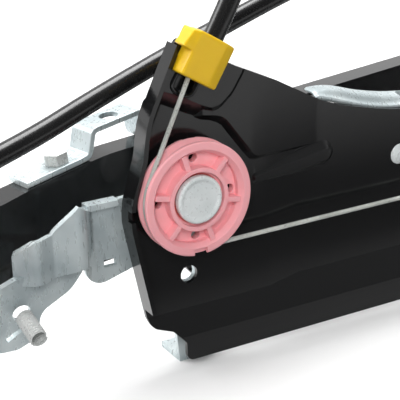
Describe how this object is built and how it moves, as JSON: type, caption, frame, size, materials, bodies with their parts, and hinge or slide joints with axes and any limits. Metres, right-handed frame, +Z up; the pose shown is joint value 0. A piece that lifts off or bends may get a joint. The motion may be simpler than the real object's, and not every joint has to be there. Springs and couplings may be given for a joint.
{
  "type": "window regulator",
  "caption": "Twin-rail cable window regulator for a car door: pressed rails, corner pulleys, cable conduits, glass carriers and drum, without its motor.",
  "frame": {"origin": "centre of the front rail's datum hole, on the face of its plate", "axes": "+X along the front rail from horn to tail, -Y out of the plate towards the pulleys, +Z up as it lies on its feet"},
  "size_m": [0.7117, 0.2488, 0.2494],
  "materials": {
    "black_paint": "gloss black enamel on pressed steel",
    "pulley_plastic": "pink moulded acetal",
    "clip_plastic": "yellow moulded nylon",
    "zinc_steel": "zinc plated steel",
    "rivet_zinc": "zinc plated steel",
    "bolt_steel": "zinc plated steel",
    "cable_steel": "galvanised wire rope",
    "nipple_zinc": "die-cast zinc",
    "slider_plastic": "natural moulded acetal",
    "drum_plastic": "natural moulded acetal",
    "housing_plastic": "black moulded nylon",
    "conduit_plastic": "black extruded sheath"
  },
  "bodies": {
    "root": {"front_rail": "black_paint", "front_horn_pulley_rivet": "rivet_zinc", "front_tail_pulley_rivet": "rivet_zinc", "front_horn_clip": "clip_plastic", "front_tail_clip": "clip_plastic", "front_stud_bracket": "zinc_steel", "front_mounting_stud": "zinc_steel", "front_top_bracket": "zinc_steel", "front_tail_bracket": "zinc_steel", "front_hump_bracket": "zinc_steel", "front_hump_bolt": "bolt_steel", "front_bracket_rivets": "rivet_zinc", "front_cable": "cable_steel", "rear_rail": "black_paint", "rear_horn_pulley_rivet": "rivet_zinc", "rear_tail_pulley_rivet": "rivet_zinc", "rear_horn_clip": "clip_plastic", "rear_tail_clip": "clip_plastic", "rear_stud_bracket": "zinc_steel", "rear_mounting_stud": "zinc_steel", "rear_top_bracket": "zinc_steel", "rear_tail_bracket": "zinc_steel", "rear_hump_bracket": "zinc_steel", "rear_hump_bolt": "bolt_steel", "rear_bracket_rivets": "rivet_zinc", "rear_cable": "cable_steel", "drum_housing": "housing_plastic", "housing_cover": "housing_plastic", "cover_screws": "bolt_steel", "conduit_1": "conduit_plastic", "conduit_2": "conduit_plastic", "conduit_3": "conduit_plastic"},
    "front_carrier": {"front_carrier_slider": "slider_plastic", "front_carrier_plate": "zinc_steel", "front_carrier_screws": "bolt_steel", "front_cable_nipples": "nipple_zinc"},
    "front_horn_pulley": {"front_horn_pulley": "pulley_plastic"},
    "front_tail_pulley": {"front_tail_pulley": "pulley_plastic"},
    "rear_carrier": {"rear_carrier_slider": "slider_plastic", "rear_carrier_plate": "zinc_steel", "rear_carrier_screws": "bolt_steel", "rear_cable_nipples": "nipple_zinc"},
    "rear_horn_pulley": {"rear_horn_pulley": "pulley_plastic"},
    "rear_tail_pulley": {"rear_tail_pulley": "pulley_plastic"},
    "cable_drum": {"cable_drum": "drum_plastic"}
  },
  "joints": [
    {"name": "front_carrier_slide", "type": "slide", "parent": "root", "child": "front_carrier", "axis": [1, 0, 0], "range_m": [-0.18, 0.105]},
    {"name": "rear_carrier_slide", "type": "slide", "parent": "root", "child": "rear_carrier", "axis": [0.9747, 0.2236, 0], "range_m": [-0.182, 0.107]},
    {"name": "front_horn_pulley_spin", "type": "hinge", "parent": "root", "child": "front_horn_pulley", "pos_m": [0, 0, 0.0305], "axis": [0, -1, 0], "range_deg": [-559, 328]},
    {"name": "front_tail_pulley_spin", "type": "hinge", "parent": "root", "child": "front_tail_pulley", "pos_m": [0.56, 0, 0.0305], "axis": [0, -1, 0], "range_deg": [-559, 328]},
    {"name": "rear_horn_pulley_spin", "type": "hinge", "parent": "root", "child": "rear_horn_pulley", "pos_m": [0.4458, 0.1235, 0.0305], "axis": [0.2236, -0.9747, 0], "range_deg": [-559, 328]},
    {"name": "rear_tail_pulley_spin", "type": "hinge", "parent": "root", "child": "rear_tail_pulley", "pos_m": [-0.10002, -0.00171, 0.0305], "axis": [0.2236, -0.9747, 0], "range_deg": [-559, 328]},
    {"name": "cable_drum_spin", "type": "hinge", "parent": "root", "child": "cable_drum", "pos_m": [0.5, 0.215, 0.0045], "axis": [0, -1, 0], "range_deg": [-473, 278]}
  ],
  "couplings": [
    {"joint": "rear_carrier_slide", "follows": "front_carrier_slide", "ratio": 1},
    {"joint": "front_horn_pulley_spin", "follows": "front_carrier_slide", "rad_per_m": 53.763},
    {"joint": "front_tail_pulley_spin", "follows": "front_carrier_slide", "rad_per_m": 53.763},
    {"joint": "rear_horn_pulley_spin", "follows": "front_carrier_slide", "rad_per_m": 53.763},
    {"joint": "rear_tail_pulley_spin", "follows": "front_carrier_slide", "rad_per_m": 53.763},
    {"joint": "cable_drum_spin", "follows": "front_carrier_slide", "rad_per_m": 45.455}
  ]
}
